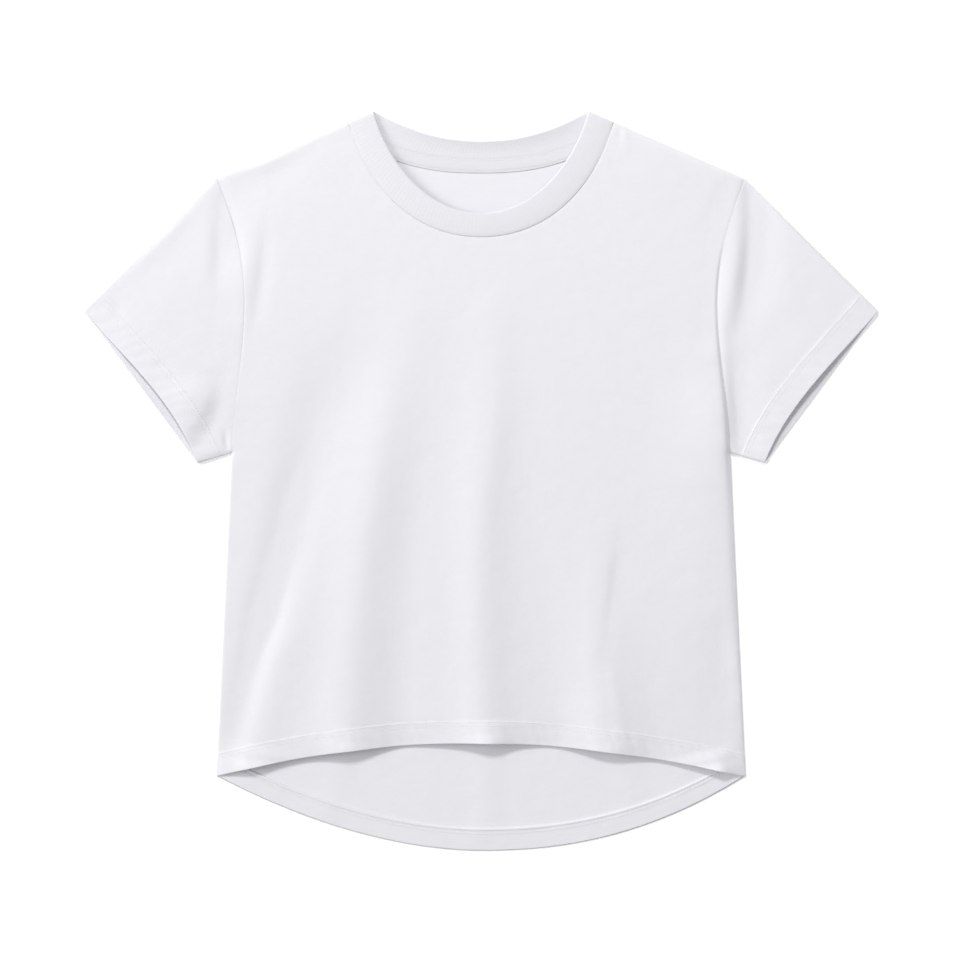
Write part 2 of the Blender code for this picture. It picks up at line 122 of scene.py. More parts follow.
def hem_y(x, hem):
    middle, powers = hem
    power = np.where(x < 0, powers[0], powers[1])
    return middle + (HEM_CORNER[1] - middle) * (np.abs(x) / HEM_CORNER[0]) ** power


def shoulder_y(x):
    share = (np.abs(x) - NECK_POINT[0]) / (SHOULDER_TIP[0] - NECK_POINT[0])
    return between(NECK_POINT[1], SHOULDER_TIP[1], share)


def armhole(share, scoop):
    """The right armhole, from the underarm at 0 to the shoulder at 1."""
    x = between(UNDERARM[0], SHOULDER_TIP[0], share) - scoop * np.sin(math.pi * share**SCOOP_POWER)
    return x, between(UNDERARM[1], SHOULDER_TIP[1], share)


def front_curve(share, half, low, handles):
    """A neck curve across the front: a cubic on each side of its lowest point."""
    t = 1 - np.abs(2 * share - 1)
    top = shoulder_y(half)
    lean = math.hypot(HANDLE_LEAN, 1)
    xs = (half, half - handles[0] * HANDLE_LEAN / lean, handles[1], 0.0)
    ys = (top, top - handles[0] / lean, low, low)
    weights = ((1 - t) ** 3, 3 * t * (1 - t) ** 2, 3 * t * t * (1 - t), t**3)
    x = sum(w * value for w, value in zip(weights, xs))
    return np.where(share > 0.5, x, -x), sum(w * value for w, value in zip(weights, ys))


def back_curve(share, half, low, power):
    x = half * (2 * share - 1)
    return x, low + (shoulder_y(half) - low) * (np.abs(x) / half) ** power


def front_seam(share, spread=0.0):
    return front_curve(share, SEAM_HALF + spread, FRONT_SEAM_LOW - spread, SEAM_HANDLES)


def back_seam(share, spread=0.0):
    return back_curve(share, SEAM_HALF + spread, BACK_SEAM_LOW - spread, BACK_SEAM_POWER)


def front_free(share):
    return front_curve(share, FREE_HALF, FRONT_FREE_LOW, FREE_HANDLES)


def back_free(share):
    return back_curve(share, FREE_HALF, BACK_FREE_LOW, BACK_FREE_POWER)


def line_distance(x, y, line_x, line_y):
    """Distance from each point to a line of points, and how far along the line the nearest spot is."""
    best = np.full(x.shape, np.inf)
    along = np.zeros(x.shape)
    run = 0.0
    for i in range(len(line_x) - 1):
        step_x, step_y = line_x[i + 1] - line_x[i], line_y[i + 1] - line_y[i]
        length = math.hypot(step_x, step_y)
        share = np.clip(((x - line_x[i]) * step_x + (y - line_y[i]) * step_y) / length**2, 0, 1)
        gap = np.hypot(x - line_x[i] - share * step_x, y - line_y[i] - share * step_y)
        nearer = gap < best
        best = np.where(nearer, gap, best)
        along = np.where(nearer, run + share * length, along)
        run += length
    return best, along


# %% [markdown]
# ## How the cloth lies
# Smoothed cloth still keeps folds. Three flares run down from the chest and stand up at the hem,
# with shallow valleys between them, and small rolls sit at the sleeves. A cloth
# simulation would drape them, but never just where the photograph has them, so each fold is a row
# in a table: where it starts and ends, how far its middle bows, how high it is, and how wide on its
# left and right. The tables after it have small creases, too fine for the solids, and the back's.

# %% The folds
FOLD_COLUMNS = ("name", "start", "end", "bow", "rise", "left", "right")
FOLD_ROWS = (
    ("left_flare", (-0.07, 0.165), (-0.134, -0.262), -0.012, (0.001, 0.0046, 0.004), 0.026, 0.027),
    ("left_flare_foot", (-0.114, -0.08), (-0.138, -0.262), 0.0, (0, 0.0012, 0.003), 0.04, 0.06),
    ("centre_flare", (0.014, 0.165), (0.004, -0.262), -0.01, (0.001, 0.0042, 0.004), 0.025, 0.023),
    ("centre_flare_foot", (0.000, -0.08), (0.000, -0.262), 0.0, (0, 0.001, 0.0028), 0.038, 0.05),
    ("right_flare", (0.114, 0.000), (0.121, -0.262), -0.002, (0, 0.0018, 0.0028), 0.036, 0.019),
    ("right_flare_foot", (0.112, -0.1), (0.124, -0.262), 0.0, (0, 0.0012, 0.0036), 0.04, 0.036),
    ("left_valley", (-0.045, 0.1), (-0.082, -0.262), -0.006, (0, -0.001, -0.0014), 0.02, 0.018),
    ("right_valley", (0.052, 0.08), (0.078, -0.262), -0.006, (0, -0.0006, -0.001), 0.02, 0.026),
    ("side_valley", (0.14, -0.04), (0.172, -0.27), 0.0, (0, -0.0002, -0.0004), 0.018, 0.014),
    ("left_trough", (-0.16, 0.06), (-0.2135, -0.13), -0.002, (-0.0012, -0.0044, -0.003), 0.026, 0.023),
    ("left_hip_trough", (-0.2, -0.07), (-0.2455, -0.2395), 0.0, (-0.0012, -0.0046, -0.0026), 0.018, 0.014),
    ("left_chest_trough", (-0.112, 0.165), (-0.178, 0.02), 0.0, (-0.0004, -0.0026, -0.0012), 0.036, 0.034),
    ("left_rib_edge", (-0.185, 0.16), (-0.242, -0.12), -0.004, (0, 0.0008, 0.0004), 0.02, 0.028),
    ("hip_crease", (-0.164, -0.06), (-0.228, -0.262), -0.004, (0, 0.0018, 0.0024), 0.026, 0.014),
    ("right_dent", (0.24, -0.12), (0.275, -0.24), 0.0, (0, -0.0036, -0.002), 0.02, 0.034),
    ("hem_left_valley", (-0.166, -0.252), (-0.166, -0.278), 0.0, (0, -0.0003, -0.0006), 0.014, 0.014),
    ("hem_left_rise", (-0.126, -0.244), (-0.128, -0.271), 0.0, (0, 0.0012, 0.003), 0.022, 0.02),
    ("hem_mid_left_valley", (-0.064, -0.236), (-0.064, -0.264), 0.0, (0, -0.0008, -0.0016), 0.024, 0.022),
    ("hem_centre_rise", (0.008, -0.236), (0.01, -0.262), 0.0, (0, 0.002, 0.0048), 0.018, 0.018),
    ("hem_mid_right_valley", (0.07, -0.236), (0.07, -0.264), 0.0, (0, -0.0008, -0.0016), 0.024, 0.022),
    ("hem_right_rise", (0.13, -0.246), (0.132, -0.271), 0.0, (0, 0.0008, 0.002), 0.018, 0.018),
    ("hem_right_valley", (0.174, -0.254), (0.174, -0.28), 0.0, (0, -0.0003, -0.0006), 0.016, 0.014),
    ("left_cuff_mouth", (0.282, 0.142), (0.342, 0.09), 0.0, (0, 0.0014, 0.0036), 0.044, 0.044),
    ("right_cap_roll", (-0.227, 0.262), (-0.24, 0.16), -0.002, (0.0002, 0.0014, 0.0005), 0.012, 0.026),
    ("right_cap_trough", (-0.257, 0.292), (-0.2625, 0.184), 0.0, (-0.0024, -0.0034, -0.0006), 0.026, 0.009),
    ("right_cuff_mouth", (-0.282, 0.142), (-0.342, 0.09), 0.0, (0, 0.0014, 0.0026), 0.044, 0.044),
    ("right_cuff_fold", (-0.2715, 0.108), (-0.2985, 0.044), 0.006, (0.0006, 0.0026, 0.002), 0.011, 0.03),
    ("right_cuff_swell", (-0.284, 0.112), (-0.3, 0.056), 0.0, (0.0002, 0.0024, 0.001), 0.026, 0.024),
    ("right_cuff_trough", (-0.262, 0.102), (-0.283, 0.034), 0.007, (-0.0004, -0.001, -0.0012), 0.008, 0.011),
)
CREASE_ROWS = (
    ("collar_nick", (0.14, 0.356), (0.1385, 0.339), 0.0, (-0.0009, -0.0007, 0), 0.002, 0.0026),
    ("collar_nick_side", (0.144, 0.35), (0.143, 0.325), 0.001, (0.0004, 0.0005, 0), 0.004, 0.004),
    ("right_shoulder_roll", (-0.25, 0.3035), (-0.172, 0.3375), 0.0, (0.0004, 0.0014, 0.0004), 0.004, 0.008),
    ("left_shoulder_roll", (0.13, 0.346), (0.232, 0.302), 0.0, (0.0008, 0.0014, 0.001), 0.012, 0.04),
    ("sleeve_top_roll", (-0.2709, 0.2876), (-0.3601, 0.1992), 0.0, (0.0002, 0.0009, 0.0002), 0.008, 0.005),
    ("right_underarm_nick", (-0.257, 0.052), (-0.2535, 0.033), 0.0, (0, -0.0012, -0.0008), 0.003, 0.003),
    ("right_sleeve_dent", (-0.356, 0.176), (-0.372, 0.168), 0.0, (0, -0.0007, 0), 0.008, 0.008),
    ("right_chest_line", (-0.215, 0.266), (-0.225, 0.166), 0.002, (-0.0002, -0.0012, -0.0008), 0.009, 0.006),
    ("flare_line", (0.143, -0.03), (0.126, -0.165), 0.0, (0, -0.0011, -0.0003), 0.02, 0.006),
    ("flare_foot", (0.128, -0.17), (0.143, -0.262), 0.0, (0, 0.0007, 0.0005), 0.006, 0.007),
    ("centre_line", (0.018, 0.16), (0.006, -0.05), 0.002, (0, 0.0007, 0), 0.014, 0.008),
    ("right_side_dent", (0.243, 0.125), (0.241, 0.005), 0.0, (0.0008, 0.0034, 0.001), 0.011, 0.036),
    ("right_side_rise", (0.226, 0.17), (0.228, -0.18), 0.0, (0, 0.0016, 0.001), 0.03, 0.044),
    ("hem_left_corner", (-0.222, -0.262), (-0.226, -0.289), 0.0, (0, 0.0028, 0.0066), 0.03, 0.026),
    ("hem_right_corner", (0.232, -0.266), (0.237, -0.293), 0.0, (0, 0.0036, 0.0092), 0.013, 0.04),
    ("left_sleeve_fold", (0.3, 0.235), (0.33, 0.12), -0.006, (0, 0.0003, 0.0001), 0.012, 0.014),
    ("left_sleeve_line", (0.262, 0.1), (0.3, 0.036), 0.004, (0, -0.0008, 0), 0.008, 0.008),
    ("left_cap_roll", (0.262, 0.29), (0.238, 0.13), 0.004, (0.0002, 0.0018, 0.0006), 0.012, 0.011),
    ("left_cap_trough", (0.2725, 0.3), (0.2535, 0.13), 0.006, (-0.0036, -0.004, -0.0004), 0.024, 0.01),
    ("left_underarm", (0.252, 0.14), (0.26, 0.026), 0.0, (-0.0008, -0.0036, -0.0034), 0.02, 0.011),
)
BACK_ROWS = (
    ("back_left", (-0.09, 0.08), (-0.15, -0.33), 0.008, (0, 0.0009, 0.0006), 0.014, 0.018),
    ("back_middle", (0.02, 0.02), (0.004, -0.35), -0.006, (0, 0.0007, 0.0008), 0.016, 0.014),
    ("back_right", (0.1, 0.1), (0.15, -0.31), -0.004, (0, 0.0009, 0.0005), 0.015, 0.018),
    ("back_blade", (-0.2, 0.18), (-0.15, 0.02), 0.01, (0, 0.0008, 0), 0.012, 0.012),
    ("back_blade_right", (0.205, 0.16), (0.17, -0.02), -0.008, (0, 0.0007, 0), 0.012, 0.01),
    ("back_shoulder", (-0.19, 0.27), (-0.1, 0.25), -0.006, (0, 0.0006, 0), 0.01, 0.01),
    ("back_waist", (0.215, -0.06), (0.165, -0.13), 0.004, (0, 0.0008, 0), 0.009, 0.011),
    ("sleeve_back", (0.285, 0.21), (0.325, 0.09), 0.005, (0, 0.0008, 0.0003), 0.01, 0.012),
    ("sleeve_back_right", (-0.29, 0.2), (-0.322, 0.1), -0.004, (0, 0.0007, 0.0003), 0.011, 0.01),
)
LIFT = 0.0015  # the air under the front
LIFT_REACH = 0.060  # which grows this slowly in from the edges
FOLD_REACH = 0.016  # and the folds run out over this distance before them
UNDERARM_SWELL = 0.0026  # a sleeve stands up steeply along its underarm, and sinks again slowly
UNDERARM_REACH = (0.0042, 0.036)
TIP_CLOSING = 0.4  # how much flatter the back turns up at the shoulder tips, under the front
TIP_REACH = 0.006
LOWEST = 0.0029  # of the front over the table, where a trough lies on the back
LOWEST_FROM = 0.005  # in from the turned edges
REST_BEND = 0.0004  # how softly a trough bends there
CREASE_REACH = 0.006  # in from the turned edges, before the creases have their full height
BACK_CREASE_REACH = 0.012


def fold_sum(rows, x, y):
    """What all the folds of one table add to the height at each point."""
    total = np.zeros(x.shape)
    for row in rows:
        fold = dict(zip(FOLD_COLUMNS, row))
        along = np.subtract(fold["end"], fold["start"])
        length = math.hypot(*along)
        off_x, off_y = x - fold["start"][0], y - fold["start"][1]
        ahead = (off_x * along[0] + off_y * along[1]) / length**2
        share = np.clip(ahead, 0, 1)
        off = (off_y * along[0] - off_x * along[1]) / length - fold["bow"] * 4 * share * (1 - share)
        first, middle, last = fold["rise"]
        rise = np.where(
            share < 0.5,
            between(first, middle, smooth(2 * share)),
            between(middle, last, smooth(2 * share - 1)),
        )
        width = np.where(off > 0, fold["left"], fold["right"])
        past_end = (ahead - share) * length / fold["left"]
        total += rise * np.exp(-((off / width) ** 2) - past_end**2)
    return total


print(len(FOLD_ROWS), "folds and", len(CREASE_ROWS) + len(BACK_ROWS), "creases")

# %% [markdown]
# ## Seams and hems
# A seam pulls the cloth down into a groove and puckers it, because thread does not stretch as knit
# does. A hem is cloth turned up and held by two rows of stitches, which rope it slightly. These are
# small heights added to the same grids, so that light catches them as it does on the real shirt. A
# bump in the material would do at a distance, but it would have no outline at the edges.

# %% Heights of seams and hems
ARMHOLE_STEPS = np.linspace(0, 1, 41)
FRONT_ARMHOLE = armhole(ARMHOLE_STEPS, FRONT_SCOOP)
FRONT_NECK = front_seam(np.linspace(0, 1, 61))
STITCH_ROWS = (0.0176, 0.0219)  # of a hem, up from its edge
GROOVE = 0.0008  # half the width of the groove that a row of stitches lies in
EDGE_ROUNDING = 0.0009  # in from a hem's edge, and how far the edge drops over it
EDGE_DROP = 0.0006
NEAR_TOP = (0.170, 0.050)  # up from the underarm, and over this, a seam gives way to a soft dip
TIGHT_GROOVE = 0.00160  # the armhole's groove at +X, and twice that at the underarm
SLACK_GROOVE = (0.00008, 0.00040, 0.00110)  # at -X: everywhere, along the middle, near the top


def pucker(distance, along, seed):
    """Short uneven wrinkles that run away from a seam."""
    wave = 2 * math.pi * along
    drift = 1.4 * np.sin(wave / 0.034 + seed) + 0.8 * np.sin(wave / 0.019 + 2.3 * seed)
    strength = 0.55 + 0.45 * np.sin(wave / 0.061 + 1.7 * seed)
    return np.sin(wave / 0.0086 + drift) * strength * np.exp(-distance / 0.0055)


def seam_relief(x, y, armhole_line, neck_line, on_body):
    """The step and the puckers along the armholes, and the groove round the neck."""
    distance, along = line_distance(np.abs(x), y, *armhole_line)
    # The armhole at +X is pulled tight. The other lies slack, and shows best along its middle.
    top = smooth((along - NEAR_TOP[0]) / NEAR_TOP[1])
    everywhere, along_middle, near_top = SLACK_GROOVE
    slack = everywhere + along_middle * bell(along - 0.130, 0.050) + near_top * top
    tight = TIGHT_GROOVE * (1 + bell(along, 0.060)) * smooth(along / 0.012) * (1 - 0.8 * top)
    depth = np.where(x > 0, tight, slack)
    # The body's edge drops to the seam at once, and the sleeve comes up from it slowly.
    steep = np.where(x > 0, 0.0018 + 0.0014 * bell(along, 0.090), 0.0007 + 0.0050 * top)
    slow = np.where(x > 0, 0.0045, 0.0014 + 0.0060 * top)
    shape = bell(distance, steep) if on_body else np.exp(-distance / slow)
    total = (0.00008 if on_body else 0.00014) * pucker(distance, along, np.where(x > 0, 0.7, 3.9))
    total -= depth * shape
    if neck_line is not None:
        distance, along = line_distance(x, y, *neck_line)
        total += 0.00010 * pucker(distance, along, 5.1)
        total -= 0.00020 * bell(distance, 0.0014)
    return total


def hem_relief(distance, along, depth, pull=1.0):
    """The outside of a hem: a rounded edge, and a band of two layers that steps up at its stitches."""
    edge = np.clip(1 - distance / EDGE_ROUNDING, 0, 1)
    total = -EDGE_DROP * (1 - np.sqrt(1 - edge**2))
    uneven = 0.74 + 0.26 * np.sin(along / 0.0047 + 2 * np.sin(along / 0.013))
    wander = 0.00035 * np.sin(along / 0.021) + 0.0002 * np.sin(along / 0.0074)
    step = 1 - smooth((distance - depth - wander) / 0.0018 + 0.5)
    total += pull * 0.00050 * uneven * step * (0.3 + 0.7 * np.clip(distance / depth, 0, 1))
    low_row = STITCH_ROWS[0] + depth - HEM_DEPTH
    total -= pull * 0.00010 * bell(distance - low_row, GROOVE)
    rope = np.sin(2 * math.pi * (along / 0.0125 + distance / 0.030 + 0.3 * np.sin(along / 0.011)))
    window = smooth(distance / 0.004) * (1 - smooth((distance - depth) / 0.003))
    return total + 0.00012 * rope * window


def edge_distances(x, y):
    found = []
    for start, end in TURNED_EDGES:
        gap, _ = line_distance(np.abs(x), y, (start[0], end[0]), (start[1], end[1]))
        found.append(gap)
    return found


def turn_height(distance, radius):
    inside = np.clip(radius - distance, 0, radius)
    return np.sqrt(radius**2 - inside**2)


def rolled(x, y):
    """Share of the full height at each point, from 0 on a turned edge to 1 past its roll."""
    shares = []
    for name, gap, width in zip(TURNED_NAMES, edge_distances(x, y), ROLL_WIDTHS):
        pressed = 0 if name == "underarm" else smooth((-x - PRESSED_FROM) / PRESSED_FADE)
        tight = PRESSED_SHARE * turn_height(gap / PRESSED_ROLL, 1.0)
        flatter = tight + (1 - PRESSED_SHARE) * smooth(gap / PRESSED_RISE)
        shares.append(between(turn_height(gap / width, 1.0), flatter, pressed))
    return np.minimum.reduce(shares)


def soft_height(x, y):
    """What the air under the front and its folds add to the height."""
    air, folded = 1.0, 1.0
    for gap in edge_distances(x, y):
        inside = np.maximum(gap - TURN, 0)
        air = air * (1 - np.exp(-inside / LIFT_REACH))
        folded = folded * (1 - np.exp(-inside / FOLD_REACH))
    return LIFT * air + folded * fold_sum(FOLD_ROWS, x, y)


def rests_on(high, lowest):
    """Heights kept over the layers below, with a soft bend where they reach them."""
    return lowest + REST_BEND * np.logaddexp(0, (high - lowest) / REST_BEND)


def front_z(x, y):
    """Height of the cloth that faces up."""
    gaps = edge_distances(x, y)
    creases = fold_sum(CREASE_ROWS, x, y) * smooth(np.minimum.reduce(gaps) / CREASE_REACH)
    up, down = UNDERARM_REACH
    swell = UNDERARM_SWELL * (1 - np.exp(-gaps[1] / up)) * np.exp(-gaps[1] / down)
    high = TURN + TURN * rolled(x, y) + soft_height(x, y) + creases + swell
    return rests_on(high, LOWEST * smooth(np.minimum.reduce(gaps) / LOWEST_FROM))


def back_z(x, y):
    """Height of the underside of the cloth that rests on the table."""
    nearest = np.minimum.reduce(edge_distances(x, y))
    creases = fold_sum(BACK_ROWS, x, y) * smooth((nearest - TURN) / BACK_CREASE_REACH)
    from_tip = np.hypot(np.abs(x) - SHOULDER_TIP[0], y - SHOULDER_TIP[1])
    turned_up = TURN - turn_height(nearest, TURN)
    turned_up = turned_up * (1 - TIP_CLOSING * bell(from_tip, TIP_REACH))
    return turned_up + np.maximum(creases, 0)


# %% [markdown]
# ## From a grid to a piece of cloth
# Every piece starts as Blender's own grid. Its columns and rows are moved to where the cloth lies,
# closer together at the seams, the hems and the turned edges, where the surface bends most. A UV
# map keeps each point's place on the flat cut, in metres, so that the knit follows the cloth. The
# Solidify modifier then gives the wall, twice as thick in a hem through a vertex group.


# %% Making a piece of cloth
OFF_TABLE = 0.004  # faces over this are surely the upper side of a piece that goes all round


def object_from(bm, name):
    """Turns a finished bmesh into a smooth object in the scene."""
    mesh = bpy.data.meshes.new(name)
    bm.to_mesh(mesh)
    bm.free()
    mesh.shade_smooth()
    made = bpy.data.objects.new(name, mesh)
    bpy.context.scene.collection.objects.link(made)
    return made


def cloth(name, columns, rows, place, up=True, wrap=False):
    """A grid whose points place() moves from their column and row. It returns the object."""
    bm = bmesh.new()
    across, along = len(columns) - 1, len(rows) - 1
    bmesh.ops.create_grid(bm, x_segments=across, y_segments=along, size=0.5)
    plan = np.array([vert.co[:2] for vert in bm.verts]) + 0.5
    c = np.rint(plan[:, 0] * across).astype(int)
    r = np.rint(plan[:, 1] * along).astype(int)
    points, flat, weights = place(np.asarray(columns)[c], np.asarray(rows)[r])
    uv = bm.loops.layers.uv.new("cut")
    group = bm.verts.layers.deform.verify()
    for vert, point, weight in zip(bm.verts, points, weights):
        vert.co = point
        vert[group][0] = weight
    for face in bm.faces:
        for loop in face.loops:
            loop[uv].uv = flat[loop.vert.index]
    if wrap:
        bmesh.ops.remove_doubles(bm, verts=bm.verts, dist=1e-6)
    bm.normal_update()

    def flatness(face):
        counts = face.calc_center_median().z > OFF_TABLE or not up
        return abs(face.normal.z) * counts

    if (max(bm.faces, key=flatness).normal.z > 0) != up:
        bmesh.ops.reverse_faces(bm, faces=bm.faces)
    return object_from(bm, name)


def wall(piece, thickness):
    """Gives the cloth its thickness, on the inner side. A weight of 1 is two layers."""
    piece.vertex_groups.new(name="layers")
    solid = piece.modifiers.new("wall", "SOLIDIFY")
    solid.thickness = 2 * thickness
    solid.offset = -1
    solid.vertex_group = "layers"
    solid.use_rim = True
    return piece


def one_layer_area(piece):
    return sum(face.area for face in piece.data.polygons)


# %% [markdown]
# ## Front and back
# A panel is a patch stretched between four curves: its hem, its two sides and its top, which is a
# shoulder, the neck and the other shoulder. Where the sides turn in at the underarm, the rows fan
# out towards the middle so that none of them crowd.

# %% Front and back panels
ROW_FAN = 2.5
UNDERARM_SHARE = (UNDERARM[1] - HEM_CORNER[1]) / (SHOULDER_TIP[1] - HEM_CORNER[1])
ARM_LENGTH = SHOULDER_TIP[1] - UNDERARM[1]
EDGE_STEPS = (0, 0.10, 0.36, 0.80, 1.35, 2.0, 2.7, 3.8, 5.2, 7.0)


def panel_columns(quarter):
    width = 2 * UNDERARM[0]
    ends = np.array(EDGE_STEPS) * 1e-3 / width
    outer = np.linspace(ends[-1] + 0.0045, 0.25, quarter)
    inner = np.linspace(0.25, 0.5, quarter + 1)[1:]
    half = np.concatenate([ends, outer, inner])
    return np.concatenate([half, 1 - half[-2::-1]])


def panel_rows(side_rows, arm_rows):
    """Rows as (share of the column, distance on from there, fan), packed in one array."""
    hem = [0, 0.25, 0.6, 1.1, 2.0, 3.5, 5.5, 8.0, 10.5, 13, 15.2, 16, 16.5, 17, 18, 19.5, 20.6, 21.2]
    hem += [21.6, 22.1, 22.5, 22.7, 23.1, 23.7, 24.4, 25.2, 26.5, 28.5]
    rows = [(0, distance * 1e-3, 0) for distance in hem]
    first = 0.034 / (SHOULDER_TIP[1] - HEM_CORNER[1])
    rows += [(share, 0, 0) for share in np.linspace(first, UNDERARM_SHARE, side_rows, endpoint=False)]
    for distance in (0, 0.36, 0.9, 1.7, 2.7):
        rows.append((UNDERARM_SHARE, distance * 1e-3, ROW_FAN))
    last = 1 - 0.0110 / ARM_LENGTH
    for share in np.linspace(0.035, last, arm_rows):
        rows.append((between(UNDERARM_SHARE, 1, share), 0, 0))
    rows += [(1, -distance * 1e-3, 0) for distance in reversed(EDGE_STEPS)]
    return np.array(rows)


def panel_plan(column, row, hem, scoop, neck):
    """Where a panel's points lie, as in the solids."""
    share, distance, fan = row[:, 0], row[:, 1], row[:, 2]

    def bottom(u):
        x = HEM_CORNER[0] * (2 * u - 1)
        return x, hem_y(x, hem)

    def top(u):
        neck_x, neck_y = neck(np.clip(2 * u - 0.5, 0, 1))
        end_x, end_y = neck(np.array(0.0))
        tip_x = -SHOULDER_TIP[0]
        part = np.minimum(u, 1 - u) * 4
        x, y = between(tip_x, end_x, part), between(shoulder_y(tip_x), end_y, part)
        in_neck = (u > 0.25) & (u < 0.75)
        return np.where(in_neck, neck_x, np.where(u < 0.5, x, -x)), np.where(in_neck, neck_y, y)

    def side(v):
        arm = np.clip((v - UNDERARM_SHARE) / (1 - UNDERARM_SHARE), 0, 1)
        arm_x, arm_y = armhole(arm, scoop)
        low = np.clip(v / UNDERARM_SHARE, 0, 1)
        under = v <= UNDERARM_SHARE
        x = np.where(under, between(HEM_CORNER[0], UNDERARM[0], low), arm_x)
        return x, np.where(under, between(HEM_CORNER[1], UNDERARM[1], low), arm_y)

    low_x, low_y = bottom(column)
    high_x, high_y = top(column)
    inside = 1 + fan * np.minimum(column, 1 - column)
    v = share + distance * inside / (high_y - low_y)
    side_x, side_y = side(v)
    (corner_x, corner_y), (tip_x, tip_y) = bottom(np.array(1.0)), top(np.array(1.0))
    x = between(low_x, high_x, v) + (2 * column - 1) * (side_x - between(corner_x, tip_x, v))
    y = between(low_y, high_y, v) + (side_y - between(corner_y, tip_y, v)) * np.abs(2 * column - 1)
    return x, y


def front_surface(x, y):
    distance = y - hem_y(x, FRONT_HEM)
    seams = seam_relief(x, y, FRONT_ARMHOLE, FRONT_NECK, True)
    return front_z(x, y) + seams + hem_relief(distance, x, HEM_DEPTH)


def back_surface(x, y):
    """The underside of the back. Its hem's stitches lie in shallow grooves."""
    distance = y - hem_y(x, BACK_HEM)
    edge = np.clip(1 - distance / EDGE_ROUNDING, 0, 1)
    total = back_z(x, y) + EDGE_DROP * (1 - np.sqrt(1 - edge**2))
    for row in STITCH_ROWS:
        total += 0.0004 * bell(distance - row, GROOVE)
    return total


def hem_layers(distance, along, depth):
    """Two layers in a hem, one above it, and a channel between the rows of stitches inside."""
    layers = 1.0 - 0.5 * smooth((distance - depth + 0.0003) / 0.0006)
    low_row, high_row = STITCH_ROWS[0] + depth - HEM_DEPTH, depth - 0.0018
    channel = smooth((distance - low_row + 0.0007) / 0.0008) * smooth((high_row - distance) / 0.0006)
    uneven = 0.5 + 0.5 * np.sin(along / 0.0062 + 1.6 * np.sin(along / 0.017))
    return layers - 0.13 * channel - 0.05 * uneven * (distance < high_row)


def panel(name, hem, scoop, neck, surface, up):
    def place(column, row):
        x, y = panel_plan(column, row, hem, scoop, neck)
        points = np.stack([x, y, surface(x, y)], 1)
        distance = y - hem_y(x, hem)
        return points, np.stack([x, y], 1), hem_layers(distance, x, HEM_DEPTH)

    rows = panel_rows(84, 66) if up else panel_rows(70, 50)
    return wall(cloth(name, panel_columns(44 if up else 34), rows, place, up), JERSEY)


front = panel("front", FRONT_HEM, FRONT_SCOOP, front_seam, front_surface, True)
back = panel("back", BACK_HEM, BACK_SCOOP, back_seam, back_surface, False)

# %% [markdown]
# ## Sleeves
# A sleeve is one piece of cloth sewn into a tube, here pressed flat. Its grid runs round the tube
# from the top edge, down the front, round the underarm and back up the back, and the first and last
# columns are merged. The front of the cuff draws back from its ends, so the back's inside shows.


# %% Sleeves
CUFF_PULL = {1: 1.0, -1: 0.5}  # how much the stitches pull in at each cuff
CUFF_CURL = 0.0022  # how far the back of the cuff at -X curls up past the front
CUFF_CURL_DEPTH = 0.013  # in from the cuff's edge
EDGE_RUN = 0.19  # the cuff's length, by which its hem's ripples are spaced
TURN_RUN = 0.23  # the armhole's length, by which the knit is laid out round the sleeve


def cuff(share, dip):
    along = np.subtract(CUFF_TOP, CUFF_UNDER)
    length = math.hypot(*along)
    back = dip * np.maximum(np.sin(math.pi * share**CUFF_DIP_POWER), 0) ** CUFF_DIP_NARROWING
    x = between(CUFF_UNDER[0], CUFF_TOP[0], share) - back * along[1] / length
    return x, between(CUFF_UNDER[1], CUFF_TOP[1], share) + back * along[0] / length


def sleeve_point(share, section, distance, scoop, dip):
    """The plan of a sleeve on the right, and how far each point is from the cuff's edge."""
    start_x, start_y = armhole(share, scoop)
    start_x = start_x - OVERLAP
    end_x, end_y = cuff(share, dip)
    length = np.hypot(end_x - start_x, end_y - start_y)
    part = section * (1 - CUFF_HEM_DEPTH / length) + distance / length
    return between(start_x, end_x, part), between(start_y, end_y, part), (1 - part) * length


def sleeve_steps():
    """Steps round a sleeve: 0 to 1 is down its front, and 1 to 2 is up its back."""
    ends = np.array(EDGE_STEPS) * 1e-3 / ARM_LENGTH
    half = np.concatenate([ends, np.linspace(0.033, 1 - 0.033, 74), 1 - ends[::-1]])
    return np.concatenate([half, 1 + half[1:]])


def sleeve_rows():
    start = [(distance * 1e-3 / 0.12, 0) for distance in (0, 0.5, 1.1, 2.0, 3.2, 4.8)]
    even = [(section, 0) for section in np.linspace(0.058, 0.975, 40)]
    hem = [0, 0.5, 1.0, 1.5, 2.0, 2.5, 3.3, 4.5, 5.5, 6.2, 6.8, 7.5, 8.1, 8.8, 10.5, 13, 15.5, 18]
    hem += [20, 21.5, 22.6, 23.3, 23.7, 24]
    return np.array(start + even + [(1, distance * 1e-3) for distance in hem])


